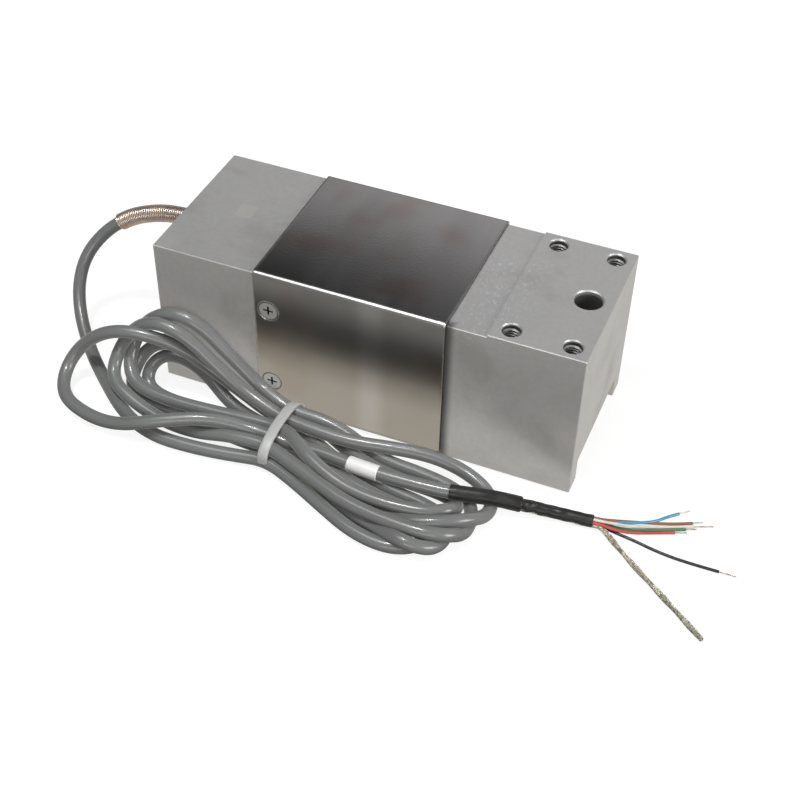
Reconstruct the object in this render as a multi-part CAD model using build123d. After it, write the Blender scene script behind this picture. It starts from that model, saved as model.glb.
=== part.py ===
from build123d import *
from math import atan, cos, degrees, hypot, pi, radians, sin, sqrt, tan
import os

os.makedirs("parts", exist_ok=True)

# Single point load cell: an aluminium beam with a folded steel cover round its middle and a tied cable.
# Millimetres. X runs along the beam from the cable end to the live end, Y to the rear, Z up.
# The origin is the middle of the beam's underside, where its fixed foot stands.

# Beam block
LENGTH = 191.0
WIDTH = 75.0
HEIGHT = 73.5
PAD_LENGTH = 41.0
PAD_STEP = 1.0
FOOT_STEP = 0.7
STEP_FILLET = 0.3
EDGE_BREAK = 0.3

# Bolt holes: four in the live end's top, four in the fixed end's foot
BOLT_PITCH_X = 25.4
BOLT_PITCH_Y = 61.0
BOLT_EDGE = 7.8
BOLT_HOLE = 8.0
BOLT_MOUTH = 9.0
BOLT_DEPTH = 20.0
ACCESS_BORE = 12.0
ACCESS_EDGE = 10.7
ACCESS_MOUTH = 0.6

# Clearance channel under the live end
CHANNEL_RAIL = 9.3
CHANNEL_DEPTH = 11.0

# Spring element: two round holes that run into each other, right through the beam
CUT_RADIUS = 22.0
CUT_PITCH = 34.0
CUSP_FILLET = 2.0

# Gauge pockets above and below the spring element
POCKET_LENGTH = 64.0
POCKET_WIDTH = 46.0
POCKET_CORNER = 6.0
POCKET_DEPTH = 4.5
POTTING_SINK = 0.7

# Cover: one folded sheet, screwed on at the fixed end only
COVER_X = -5.4
COVER_LENGTH = 85.4
SHEET = 1.0
COVER_GAP = 0.4
COVER_BEND = 2.0
COVER_BOTTOM = 3.2
GASKET_WIDTH = 12.0
GASKET_INSET = 1.0

# Cover screws, countersunk, with a cross recess
SCREW_INSET = 6.6
SCREW_LOW_Z = 15.8
SCREW_HIGH_Z = 55.2
SCREW_HEAD = 9.2
SCREW_THREAD = 5.0
SCREW_LENGTH = 9.0
SCREW_CLEAR = 0.15
SCREW_HEAD_SINK = 0.1
RECESS_SPAN = 4.6
RECESS_SLOT = 0.9
RECESS_DEPTH = 1.6

# Gauges, terminals and the compensation board
GAUGE_LENGTH = 12.0
GAUGE_WIDTH = 9.0
GAUGE_THICKNESS = 0.3
TERMINAL_LENGTH = 6.0
TERMINAL_WIDTH = 14.0
TERMINAL_THICKNESS = 0.8
BOARD_LENGTH = 15.0
BOARD_WIDTH = 36.0
BOARD_THICKNESS = 1.2
RESISTOR_LENGTH = 6.0
RESISTOR_WIDTH = 3.0
RESISTOR_HEIGHT = 1.0
RESISTOR_PITCH = 9.0

# Cable way inside the fixed end
CABLE_Z = HEIGHT - 12.5
BORE_CLEAR = 0.25
WELL_RADIUS = 4.5
WELL_X = -41.0
WELL_FLOOR_CLEAR = 0.5
CORE_DIAMETER = 1.2
CORE_COUNT = 6
CORE_PITCH = 1.3
CORE_BEND = 2.0
CORE_RISE_X = 1.6
CORE_LIFT = -0.5
DUCT_WIDTH = 9.0
DRILL_WIRE = 3.0
GAUGE_LEAD = 2.2
GAUGE_LEAD_Y = BOARD_WIDTH / 2 - 3.5
GAUGE_LEAD_BEND = 1.6

# Cable gland bush and spring guard
BUSH_DIAMETER = 12.0
BUSH_LENGTH = 12.0
BUSH_BORE_CLEAR = 0.15
SPRING_SEAT = 2.5
SPRING_WIRE = 0.95
SPRING_CLEAR = 0.15

# Cable
CABLE = 5.9
FLOOR_CLEAR = 0.05
ARC_SHARE = 0.45

# Cable route from the bush to the tied hank, points chosen by hand
LEAD_IN = [
    (-93, 0, CABLE_Z),
    (-105, 0, CABLE_Z),
    (-117.5, 0, CABLE_Z - 2.8),
    (-130, -1, CABLE_Z - 8),
    (-141.5, -4.5, 0.73 * CABLE_Z),
    (-149, -12, 0.557 * CABLE_Z),
    (-149.8, -20.5, 0.377 * CABLE_Z),
    (-143.5, -31.5, 13.5),
    (-131.5, -44, 6),
    (-116, -57, 3),
    (-98, -71.5, 3),
]
SPRING_LENGTH = 43.8

# Cable route from the hank to the end of its sleeves, points chosen by hand
TAIL = [
    (-6, -64.5, 9),
    (14, -66.5, 9),
    (34, -66, 9),
    (52, -64.5, 9),
    (68, -60, 8.6),
    (82, -55.5, 5.2),
    (97, -52.5, 3.4),
    (110, -51, 3),
]

# Pieces on the tail, by distance along its path
MARKER_FROM = 12.9
MARKER_TO = 27.0
MARKER_DIAMETER = 6.8
OUTER_SLEEVE_FROM = 58.0
OUTER_SLEEVE_TO = 88.0
OUTER_SLEEVE_DIAMETER = 6.7
JACKET_END = 82.0
INNER_SLEEVE_DIAMETER = 5.4
INNER_SLEEVE_WALL = 0.3
SLEEVE_CLEAR = 0.05

# Conductors: their places in the inner sleeve, and their routes on the floor chosen by hand
CONDUCTOR = 1.3
TIP_DIAMETER = 0.6
CONDUCTOR_RING = 1.6
RING_PLACES = 7
FAN_LEAD = 4.0
CONDUCTOR_ROUTES = {
    "blue": [(123.5, -45.2, 2.0), (131, -41.4, 0.9), (135.5, -35.8, 0.7), (141.3, -30.6, 0.7)],
    "brown": [(124.5, -45.5, 3.5), (134.5, -40.3, 1.6), (141.5, -36.8, 0.8), (147.7, -33.5, 0.7)],
    "white": [(124.5, -46.9, 2.3), (134.5, -41.7, 0.7), (141.5, -38.4, 0.7), (148.8, -35.2, 0.7)],
    "red": [(120, -51.4, 2.3), (126, -48.9, 0.9), (131.5, -46.4, 0.7), (137, -43.9, 0.7), (142.3, -41.6, 0.7)],
    "braid": [(120.5, -57.2, 0.9), (131, -65.4, 0.85), (143, -74.4, 0.85), (154, -82.6, 0.85), (165.4, -91.3, 0.85)],
    "black": [(121, -51.4, 0.7), (129, -52.5, 0.7), (138, -54.4, 0.7), (150, -55.4, 0.7), (163.8, -54.9, 0.7)],
    "green": [(122, -48.2, 0.7), (130, -45.3, 0.7), (138, -41.9, 0.7), (146, -38.1, 0.7)],
}
TIP_LENGTHS = {"blue": 5.5, "brown": 4.5, "white": 8.0, "red": 5.0, "black": 7.0, "green": 4.5}
BRAID_DIAMETER = 1.4

# Tied hank: bands of cable through the tie, as (x, y, z, half width, half height)
TIE_X = -28.0
TIE_Y = -58.6
BUNDLE_HALF_WIDTH = 17.6
BUNDLE_HALF_HEIGHT = 5.7
BAND_SIDES = 8
LEFT_BAND = [
    (-28, -58.6, 6.9, 17.6, 5.7),
    (-40, -52.5, 9.6, 11.5, 7.0),
    (-54, -47.5, 17.6, 6.6, 12.5),
    (-70, -46.4, 25.0, 5.9, 14.8),
    (-86, -46.2, 28.8, 5.6, 15.6),
    (-101, -47.0, 26.0, 6.0, 12.8),
    (-111, -53.5, 17.0, 6.8, 10.5),
    (-109, -63.5, 9.0, 6.4, 8.0),
    (-94, -69.0, 6.2, 7.6, 6.0),
    (-70, -70.5, 5.9, 9.6, 5.8),
    (-46, -65.5, 5.9, 11.5, 5.8),
    (-28, -58.6, 6.9, 17.6, 5.7),
]
LEFT_BAND_COUNT = 6
OUTER_LOOP = [
    (-66, -47.5, 24.0, 3.3, 3.3),
    (-90, -43.6, 27.5, 3.3, 3.3),
    (-112, -41.2, 23.0, 3.3, 3.3),
    (-126, -42.5, 16.5, 3.3, 3.3),
    (-133.5, -50.5, 9.5, 3.3, 3.3),
    (-133, -61.5, 6.0, 3.3, 3.3),
    (-126.5, -71.0, 4.4, 3.3, 3.3),
    (-116, -77.8, 4.4, 3.3, 3.3),
    (-102, -80.8, 6.4, 3.3, 3.3),
    (-86, -81.3, 8.4, 3.3, 3.3),
    (-66, -77.8, 8.4, 3.3, 3.3),
]
RIGHT_LOW = [
    (-28, -44),
    (4, -46),
    (30, -44),
    (52, -44.5),
    (63, -48),
    (70.5, -54.5),
    (70.5, -62),
    (64.5, -72),
    (60.5, -84),
    (56, -92.5),
    (44, -97),
    (30, -100),
    (16, -98),
    (5, -91.5),
    (-8, -83),
    (-28, -75.6),
]
RIGHT_HIGH = [
    (-28, -44),
    (4, -48),
    (18, -46),
    (32, -45.5),
    (54, -47.2),
    (65, -52),
    (69, -59),
    (64, -69),
    (58, -81),
    (46, -87.2),
    (31, -88.4),
    (12, -86),
    (-8, -79.5),
    (-28, -75.6),
]
RIGHT_FILLET = 5.0
RIGHT_LOW_TOP = 6.0
RIGHT_HIGH_TOP = 11.9
GROOVE_CLEAR = 0.1
REST_GAP = 0.15

# Cable tie
TIE_WIDTH = 3.6
TIE_THICKNESS = 1.2
TIE_CLEAR = 0.1
TIE_HEAD = 5.4
TIE_HEAD_HEIGHT = 3.4

# Worked-out places
HALF_LENGTH = LENGTH / 2
HALF_WIDTH = WIDTH / 2
TOP = HEIGHT - PAD_STEP
UNDERSIDE = FOOT_STEP
MID_Z = (TOP + UNDERSIDE) / 2
LIVE_BOLT_X = HALF_LENGTH - BOLT_EDGE - BOLT_PITCH_X / 2
FIXED_BOLT_X = -LIVE_BOLT_X
ACCESS_X = HALF_LENGTH - ACCESS_EDGE
COVER_LEFT = COVER_X - COVER_LENGTH / 2
COVER_INSIDE = HALF_WIDTH + COVER_GAP
COVER_OUTSIDE = COVER_INSIDE + SHEET
COVER_TOP = TOP + COVER_GAP + SHEET
SCREW_X = COVER_LEFT + SCREW_INSET
SCREW_HEAD_DEPTH = (SCREW_HEAD - SCREW_THREAD) / 2
TOP_FLOOR = TOP - POCKET_DEPTH
BOTTOM_FLOOR = UNDERSIDE + POCKET_DEPTH
GAUGE_X = [COVER_X - CUT_PITCH / 2, COVER_X + CUT_PITCH / 2]
CABLE_BORE = CABLE + 2 * BORE_CLEAR
SPRING_INSIDE = CABLE + 2 * SPRING_CLEAR
SPRING_OUTSIDE = SPRING_INSIDE + 2 * SPRING_WIRE


def box(x0, x1, y0, y1, z0, z1):
    """Block between two corners."""
    size = (x1 - x0, y1 - y0, z1 - z0)
    return Pos((x0 + x1) / 2, (y0 + y1) / 2, (z0 + z1) / 2) * Box(*size)


def rod(x, y, z0, z1, diameter):
    """Upright cylinder between two heights."""
    return Pos(x, y, (z0 + z1) / 2) * Cylinder(diameter / 2, z1 - z0)


def rod_x(x0, x1, y, z, diameter):
    """Cylinder along X."""
    return Pos((x0 + x1) / 2, y, z) * Rot(0, 90, 0) * Cylinder(diameter / 2, x1 - x0)


def rod_y(x, y0, y1, z, diameter):
    """Cylinder along Y."""
    return Pos(x, (y0 + y1) / 2, z) * Rot(90, 0, 0) * Cylinder(diameter / 2, y1 - y0)


def bolt_hole(x, y, face, inward):
    """Bolt hole at the thread's outer diameter, with a countersunk mouth; inward is +1 when it runs up from the face, -1 down."""
    depth = (BOLT_MOUTH - BOLT_HOLE) / 2
    far = face + inward * BOLT_DEPTH
    hole = rod(x, y, min(face, far), max(face, far), BOLT_HOLE)
    wide, narrow = BOLT_MOUTH / 2, BOLT_HOLE / 2
    bottom, top = (wide, narrow) if inward > 0 else (narrow, wide)
    return hole + Pos(x, y, face + inward * depth / 2) * Cone(bottom, top, depth)


def bolt_places(centre_x):
    """The four corners of a bolt pattern."""
    return [
        (centre_x + sx * BOLT_PITCH_X / 2, sy * BOLT_PITCH_Y / 2)
        for sx in (-1, 1)
        for sy in (-1, 1)
    ]


def pocket(floor, mouth):
    """Rounded gauge pocket between two heights."""
    outline = RectangleRounded(POCKET_LENGTH, POCKET_WIDTH, POCKET_CORNER)
    return extrude(Pos(COVER_X, 0, min(floor, mouth)) * outline, abs(mouth - floor))


def spring_cut():
    """The two joined holes right through the beam, with rounded cusps between them."""
    holes = [rod_y(x, -WIDTH, WIDTH, 0, 2 * CUT_RADIUS) for x in (-CUT_PITCH / 2, CUT_PITCH / 2)]
    solid = holes[0] + holes[1]
    cusps = [e for e in solid.edges().filter_by(Axis.Y) if abs(e.center().X) < 0.01]
    solid = fillet(cusps, CUSP_FILLET)
    return Pos(COVER_X, 0, MID_Z) * solid


def screw_places():
    """Cover screws as (side of the beam, height)."""
    return [(side, z) for side in (-1, 1) for z in (SCREW_LOW_Z, SCREW_HIGH_Z)]


def screw_solid(clear):
    """Countersunk screw along +Z with its head's face at zero; clear widens it for its seat."""
    head_face = SCREW_HEAD / 2 + clear
    shank = SCREW_THREAD / 2 + clear
    head = Pos(0, 0, -(head_face - shank) / 2) * Cone(shank, head_face, head_face - shank)
    return head + Pos(0, 0, -SCREW_LENGTH / 2) * Cylinder(shank, SCREW_LENGTH)


def screw_seat(clear):
    """Cut for a screw: the widened screw, open above its head."""
    mouth = SCREW_HEAD / 2 + clear
    return screw_solid(clear) + Pos(0, 0, SHEET / 2) * Cylinder(mouth, SHEET)


def at_screw(side, z, solid):
    """Move a screw-shaped solid to its place, head outwards."""
    turn = 90 if side < 0 else -90
    return Pos(SCREW_X, side * (COVER_OUTSIDE - SCREW_HEAD_SINK), z) * Rot(turn, 0, 0) * solid


def beam():
    """The machined block: pads, spring element, pockets, holes and cable way."""
    block = beam_outline()
    top_cut_end = HALF_LENGTH - PAD_LENGTH
    inner = HALF_WIDTH - CHANNEL_RAIL
    block -= box(top_cut_end, HALF_LENGTH + 1, -inner, inner, -1, UNDERSIDE + CHANNEL_DEPTH)
    block -= spring_cut()
    block -= pocket(TOP_FLOOR, TOP + 1)
    block -= pocket(BOTTOM_FLOOR, UNDERSIDE - 1)
    for x, y in bolt_places(LIVE_BOLT_X):
        block -= bolt_hole(x, y, HEIGHT, -1)
    for x, y in bolt_places(FIXED_BOLT_X):
        block -= bolt_hole(x, y, 0, 1)
    block -= rod(ACCESS_X, 0, 0, HEIGHT + 1, ACCESS_BORE)
    mouth = ACCESS_BORE / 2 + ACCESS_MOUTH
    block -= Pos(ACCESS_X, 0, HEIGHT - ACCESS_MOUTH / 2) * Cone(ACCESS_BORE / 2, mouth, ACCESS_MOUTH)
    block -= rod_x(-HALF_LENGTH - 1, WELL_X, 0, CABLE_Z, CABLE_BORE)
    block -= rod_x(-HALF_LENGTH - 1, -HALF_LENGTH + BUSH_LENGTH, 0, CABLE_Z, BUSH_DIAMETER)
    well_floor = CABLE_Z - CABLE_BORE / 2 - WELL_FLOOR_CLEAR
    block -= rod(WELL_X, 0, well_floor, TOP + 1, 2 * WELL_RADIUS)
    duct_end = COVER_X - POCKET_LENGTH / 2 + POCKET_CORNER
    block -= box(WELL_X, duct_end, -DUCT_WIDTH / 2, DUCT_WIDTH / 2, TOP_FLOOR, TOP + 1)
    block -= rod(COVER_X, GAUGE_LEAD_Y, 0, TOP, DRILL_WIRE)
    for side, z in screw_places():
        block -= at_screw(side, z, screw_solid(SCREW_CLEAR))
    return block


def cover():
    """Folded cover with countersunk screw holes in both legs."""
    right = COVER_LEFT + COVER_LENGTH
    sheet = box(COVER_LEFT, right, -COVER_OUTSIDE, COVER_OUTSIDE, COVER_BOTTOM, COVER_TOP)
    corners = [e for e in sheet.edges().filter_by(Axis.X) if e.center().Z > MID_Z]
    sheet = fillet(corners, COVER_BEND) - cover_hollow(COVER_LEFT - 1, right + 1, COVER_BOTTOM - 1)
    for side, z in screw_places():
        sheet -= at_screw(side, z, screw_seat(SCREW_CLEAR))
    return sheet


def cover_gasket():
    """Thin gasket that fills the gap under the cover at the fixed end, cut round the screws and well."""
    x0 = COVER_LEFT + GASKET_INSET
    x1 = x0 + GASKET_WIDTH
    strip = cover_hollow(x0, x1, COVER_BOTTOM) - beam_outline()
    for side, z in screw_places():
        strip -= at_screw(side, z, screw_solid(SCREW_CLEAR + 0.1))
    return strip - box(WELL_X - WELL_RADIUS, x1 + 1, -WELL_RADIUS, WELL_RADIUS, TOP - 1, COVER_TOP)


def cover_hollow(x0, x1, bottom):
    """The room inside the folded cover."""
    hollow = box(x0, x1, -COVER_INSIDE, COVER_INSIDE, bottom, COVER_TOP - SHEET)
    tops = [e for e in hollow.edges().filter_by(Axis.X) if e.center().Z > MID_Z]
    return fillet(tops, COVER_BEND - SHEET)


def beam_outline():
    """The plain block with its lowered top and underside and its broken long edges."""
    block = box(-HALF_LENGTH, HALF_LENGTH, -HALF_WIDTH, HALF_WIDTH, 0, HEIGHT)
    top_cut_end = HALF_LENGTH - PAD_LENGTH
    block -= box(-HALF_LENGTH - 1, top_cut_end, -WIDTH, WIDTH, TOP, HEIGHT + 1)
    block -= box(-top_cut_end, HALF_LENGTH + 1, -WIDTH, WIDTH, -1, UNDERSIDE)
    inner_steps = [
        e
        for e in block.edges().filter_by(Axis.Y)
        if abs(abs(e.center().X) - top_cut_end) < 0.01 and UNDERSIDE - 0.01 < e.center().Z < TOP + 0.01
    ]
    block = fillet(inner_steps, STEP_FILLET)
    ends = [e for e in block.edges() if abs(abs(e.center().X) - HALF_LENGTH) < 0.01]
    along = [e for e in block.edges().filter_by(Axis.X)]
    return chamfer(ends + along, EDGE_BREAK)


def cover_screws(side):
    """The two countersunk screws of one side, each with a cross recess."""
    screw = screw_solid(0)
    slot = Pos(0, 0, -RECESS_DEPTH / 2) * Box(RECESS_SPAN, RECESS_SLOT, RECESS_DEPTH)
    screw -= slot + Rot(0, 0, 90) * slot
    return Compound([at_screw(side, z, screw) for z in (SCREW_LOW_Z, SCREW_HIGH_Z)])


def gauge(x, floor, up):
    """Strain gauge patch on a pocket floor; up is +1 in the top pocket, -1 in the bottom one."""
    half_l, half_w = GAUGE_LENGTH / 2, GAUGE_WIDTH / 2
    z0, z1 = sorted((floor, floor + up * GAUGE_THICKNESS))
    return box(x - half_l, x + half_l, -half_w, half_w, z0, z1)


def compensation_board():
    """Small circuit board between the two top gauges, notched round the bottom gauges' leads."""
    half_l, half_w = BOARD_LENGTH / 2, BOARD_WIDTH / 2
    board = box(COVER_X - half_l, COVER_X + half_l, -half_w, half_w, TOP_FLOOR, TOP_FLOOR + BOARD_THICKNESS)
    return board - rod(COVER_X, GAUGE_LEAD_Y, 0, TOP, DRILL_WIRE)


def trim_resistors():
    """Three trimming resistors on the board."""
    z0 = TOP_FLOOR + BOARD_THICKNESS
    half_l, half_w = RESISTOR_LENGTH / 2, RESISTOR_WIDTH / 2
    rows = [(i - 1) * RESISTOR_PITCH - RESISTOR_WIDTH for i in range(3)]
    return Compound([
        box(COVER_X - half_l, COVER_X + half_l, y - half_w, y + half_w, z0, z0 + RESISTOR_HEIGHT) for y in rows
    ])


def solder_terminals():
    """Solder terminal strip between the two bottom gauges."""
    half_l, half_w = TERMINAL_LENGTH / 2, TERMINAL_WIDTH / 2
    z0 = BOTTOM_FLOOR - TERMINAL_THICKNESS
    return box(COVER_X - half_l, COVER_X + half_l, -half_w, half_w, z0, BOTTOM_FLOOR)


def core_solids():
    """The cable's six cores, from the jacket's end up the well to the board."""
    cores = []
    jacket_end = WELL_X - WELL_RADIUS + 1
    high = TOP_FLOOR + BOARD_THICKNESS + CORE_DIAMETER / 2 + 0.05
    board_edge = COVER_X - BOARD_LENGTH / 2 + CORE_RISE_X
    for i in range(CORE_COUNT):
        y = (i - (CORE_COUNT - 1) / 2) * CORE_PITCH
        spread = 0.62
        points = [
            (jacket_end, y * spread, CABLE_Z),
            (WELL_X + CORE_LIFT, y * spread, CABLE_Z),
            (WELL_X + CORE_LIFT + 2.2, y, high),
            (board_edge, y, high),
        ]
        cores.append(tube(points, CORE_DIAMETER, [CORE_BEND, CORE_BEND]))
    return cores


def gauge_leads():
    """Sleeved leads of the bottom gauges, up the wire hole to the board."""
    z_low = BOTTOM_FLOOR - TERMINAL_THICKNESS / 2 - 1.2
    z_high = TOP_FLOOR + BOARD_THICKNESS + GAUGE_LEAD / 2
    inner_y = TERMINAL_WIDTH / 2 + 0.4
    points = [
        (COVER_X, inner_y, z_low),
        (COVER_X, GAUGE_LEAD_Y, z_low),
        (COVER_X, GAUGE_LEAD_Y, z_high),
    ]
    return tube(points, GAUGE_LEAD, [GAUGE_LEAD_BEND])


def cable_bush():
    """Gland bush in the end face, bored for the cable and counterbored for the spring guard."""
    bush = rod_x(-HALF_LENGTH, -HALF_LENGTH + BUSH_LENGTH, 0, CABLE_Z, BUSH_DIAMETER)
    bush -= rod_x(-HALF_LENGTH - 1, -HALF_LENGTH + BUSH_LENGTH + 1, 0, CABLE_Z, CABLE + 2 * BUSH_BORE_CLEAR)
    return bush - rod_x(-HALF_LENGTH - 1, -HALF_LENGTH + SPRING_SEAT, 0, CABLE_Z, SPRING_OUTSIDE + 0.1)


def potting(floor, mouth, pieces):
    """Sealing compound that fills a pocket, with the room of the pieces that it covers."""
    fill = pocket(floor, mouth)
    for piece in pieces:
        fill -= piece
    return fill


def turn_radii(points):
    """Fillet radius at each inner point: as large as its two runs allow."""
    radii = []
    for before, here, after in zip(points, points[1:], points[2:]):
        first, second = Vector(here) - Vector(before), Vector(after) - Vector(here)
        turn = first.get_angle(second)
        shorter = min(first.length, second.length)
        radii.append(ARC_SHARE * shorter / tan(radians(turn / 2)))
    return radii


def path(points, radii):
    """Straight runs joined by tangent arcs."""
    if len(points) == 2:
        return Line(*points)
    return FilletPolyline(*points, radius=radii)


def tube(points, diameter, radii, bore=0.0):
    """Round tube or rod along a path."""
    line = path(points, radii)
    start = Plane(origin=points[0], z_dir=Vector(points[1]) - Vector(points[0]))
    solid = sweep(sections=start * Circle(diameter / 2), path=line)
    if bore:
        solid -= sweep(sections=start * Circle(bore / 2), path=line)
    return solid


def report_tube(name, solid, points, diameter):
    """Print a tube's radii and compare its volume with its section times its length."""
    radii = turn_radii(points)
    length = path(points, radii).length
    ratio = solid.volume / (pi * diameter ** 2 / 4 * length)
    print(name, "length", round(length, 1), "radii", [round(r, 1) for r in radii], "volume ratio", round(ratio, 4))


def band(stations):
    """Loft through flattened rings along a bundle of cable turns."""
    sections = []
    count = len(stations)
    for i, (x, y, z, half_width, half_height) in enumerate(stations):
        before = stations[max(i - 1, 0)]
        after = stations[min(i + 1, count - 1)]
        along = Vector(*after[:3]) - Vector(*before[:3])
        across = Vector(0, 0, 1).cross(along).normalized()
        plane = Plane(origin=(x, y, z), x_dir=across, z_dir=along)
        ring = []
        for k in range(BAND_SIDES):
            angle = 2 * pi * (k + 0.5) / BAND_SIDES
            ring.append((half_width * cos(angle) / cos(pi / BAND_SIDES),
                         half_height * sin(angle) / cos(pi / BAND_SIDES)))
        sections.append(plane * make_face(Polyline(*ring, close=True)))
    return loft(sections, ruled=True)


def lobe_layer(outline, top):
    """One flat layer of the lobes to the right of the tie."""
    face = make_face(Polyline(*outline, close=True))
    face = fillet([v for v in face.vertices() if v.X > TIE_X + 1], RIGHT_FILLET)
    return extrude(face, top)


def cable_hank():
    """Outer shape of the five tied turns of cable, with room for the tie, the lead-in and the tail."""
    hank = band(LEFT_BAND[:LEFT_BAND_COUNT + 1])
    hank += band(LEFT_BAND[LEFT_BAND_COUNT:])
    hank += band(OUTER_LOOP)
    hank += lobe_layer(RIGHT_LOW, RIGHT_LOW_TOP)
    hank += lobe_layer(RIGHT_HIGH, RIGHT_HIGH_TOP)
    reach = TIE_WIDTH / 2 + TIE_CLEAR
    hank -= box(TIE_X - reach, TIE_X + reach, -200, 0, -50, 100)
    hank += tie_block(0, 2 * reach + 0.2)
    hank -= tie_head(TIE_CLEAR)
    hank -= tube(LEAD_IN, CABLE + 2 * GROOVE_CLEAR, turn_radii(LEAD_IN))
    hank -= tube(TAIL, MARKER_DIAMETER + 2 * GROOVE_CLEAR, turn_radii(TAIL))
    hank -= box(-200, 200, -200, 0, -50, 0)
    hank -= box(-HALF_LENGTH - REST_GAP, HALF_LENGTH, -HALF_WIDTH - REST_GAP, 0, -1, HEIGHT)
    cover_right = COVER_LEFT + COVER_LENGTH + REST_GAP
    return hank - box(COVER_LEFT - REST_GAP, cover_right, -COVER_OUTSIDE - REST_GAP, 0, -1, HEIGHT)


def tie_block(grow, width):
    """Flattened ring round the bundle at the tie, grown by a thickness."""
    half_w = BUNDLE_HALF_WIDTH + grow
    half_h = BUNDLE_HALF_HEIGHT + grow
    outline = RectangleRounded(2 * half_w, 2 * half_h, half_h * 0.72)
    section = Plane.YZ * outline
    solid = extrude(section, width / 2, both=True)
    return Pos(TIE_X, TIE_Y, BUNDLE_HALF_HEIGHT + TIE_THICKNESS) * solid


def tie_head(grow):
    """Head of the tie, on the far side of the bundle's top."""
    y = TIE_Y + BUNDLE_HALF_WIDTH - TIE_HEAD
    z = 2 * BUNDLE_HALF_HEIGHT + TIE_THICKNESS
    half = TIE_HEAD / 2 + grow
    return box(TIE_X - half, TIE_X + half, y - half, y + half, z + TIE_CLEAR - grow, z + TIE_HEAD_HEIGHT)


def cable_tie():
    """Nylon strap round the bundle with its head."""
    return tie_block(TIE_THICKNESS, TIE_WIDTH) - tie_block(TIE_CLEAR, 2 * TIE_WIDTH) + tie_head(0)


def stretch(points, diameter, bore, start, end):
    """The part of a tube between two distances along its path."""
    radii = turn_radii(points)
    line = path(points, radii)
    solid = tube(points, diameter, radii, bore)
    if start > 0:
        solid = split(solid, bisect_by=cross_plane(line, start), keep=Keep.TOP)
    if end < line.length:
        solid = split(solid, bisect_by=cross_plane(line, end), keep=Keep.BOTTOM)
    return solid


def cross_plane(line, distance):
    """Plane across a path at a distance along it, looking along the path."""
    origin = line.position_at(distance, position_mode=PositionMode.LENGTH)
    along = line.tangent_at(distance, position_mode=PositionMode.LENGTH)
    return across(origin, along)


def across(origin, along):
    """Plane across a direction, with its own X level and to the rear and its own Y up."""
    level = Vector(0, 0, 1).cross(Vector(along))
    return Plane(origin=origin, x_dir=level, z_dir=along)


def conductor_points(index, route):
    """A conductor's path: from the jacket's end along the sleeve in its own place, then its route."""
    angle = 2 * pi * index / RING_PLACES
    inside = [cross_plane(path(TAIL, turn_radii(TAIL)), JACKET_END)]
    for before, here, after in zip(TAIL[4:], TAIL[5:], TAIL[6:]):
        inside.append(across(here, Vector(after) - Vector(before)))
    last_run = (Vector(TAIL[-1]) - Vector(TAIL[-2])).normalized()
    inside.append(across(Vector(TAIL[-1]) + last_run * FAN_LEAD, last_run))
    local = (CONDUCTOR_RING * cos(angle), CONDUCTOR_RING * sin(angle))
    return [tuple(plane.from_local_coords(local)) for plane in inside] + route


nodes = {}
nodes["load_cell_body"] = beam()
nodes["middle_cover"] = cover()
nodes["cover_gasket"] = cover_gasket()
nodes["cover_screws_front"] = cover_screws(-1)
nodes["cover_screws_rear"] = cover_screws(1)
nodes["strain_gauge_top_fixed"] = gauge(GAUGE_X[0], TOP_FLOOR, 1)
nodes["strain_gauge_top_live"] = gauge(GAUGE_X[1], TOP_FLOOR, 1)
nodes["strain_gauge_bottom_fixed"] = gauge(GAUGE_X[0], BOTTOM_FLOOR, -1)
nodes["strain_gauge_bottom_live"] = gauge(GAUGE_X[1], BOTTOM_FLOOR, -1)
nodes["compensation_board"] = compensation_board()
nodes["trim_resistors"] = trim_resistors()
nodes["solder_terminals"] = solder_terminals()
nodes["bottom_gauge_leads"] = gauge_leads()
cores = core_solids()
nodes["cable_cores"] = Compound(cores)
top_pieces = [nodes[name] for name in ("strain_gauge_top_fixed", "strain_gauge_top_live", "compensation_board",
                                       "trim_resistors", "bottom_gauge_leads")]
nodes["top_potting"] = potting(TOP_FLOOR, TOP - POTTING_SINK, top_pieces + cores)
bottom_pieces = [nodes[name] for name in ("strain_gauge_bottom_fixed", "strain_gauge_bottom_live",
                                          "solder_terminals", "bottom_gauge_leads")]
nodes["bottom_potting"] = potting(BOTTOM_FLOOR, UNDERSIDE + POTTING_SINK, bottom_pieces)
nodes["cable_bush"] = cable_bush()
nodes["cable_inner_length"] = rod_x(LEAD_IN[0][0], WELL_X - WELL_RADIUS + 1, 0, CABLE_Z, CABLE)

nodes["spring_guard"] = stretch(LEAD_IN, SPRING_OUTSIDE, SPRING_INSIDE, 0, SPRING_LENGTH)
nodes["cable_lead_in"] = tube(LEAD_IN, CABLE, turn_radii(LEAD_IN))
report_tube("lead in", nodes["cable_lead_in"], LEAD_IN, CABLE)
nodes["cable_hank"] = cable_hank()
nodes["cable_tie"] = cable_tie()
report_tube("tail", tube(TAIL, CABLE, turn_radii(TAIL)), TAIL, CABLE)
tail_length = path(TAIL, turn_radii(TAIL)).length
nodes["cable_tail"] = stretch(TAIL, CABLE, 0, 0, JACKET_END)
sleeve_bore = CABLE + 2 * SLEEVE_CLEAR
nodes["marker_sleeve"] = stretch(TAIL, MARKER_DIAMETER, sleeve_bore, MARKER_FROM, MARKER_TO)
nodes["outer_sleeve"] = stretch(TAIL, OUTER_SLEEVE_DIAMETER, sleeve_bore, OUTER_SLEEVE_FROM, OUTER_SLEEVE_TO)
inner_bore = INNER_SLEEVE_DIAMETER - 2 * INNER_SLEEVE_WALL
nodes["inner_sleeve"] = stretch(TAIL, INNER_SLEEVE_DIAMETER, inner_bore, JACKET_END, tail_length)

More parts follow.
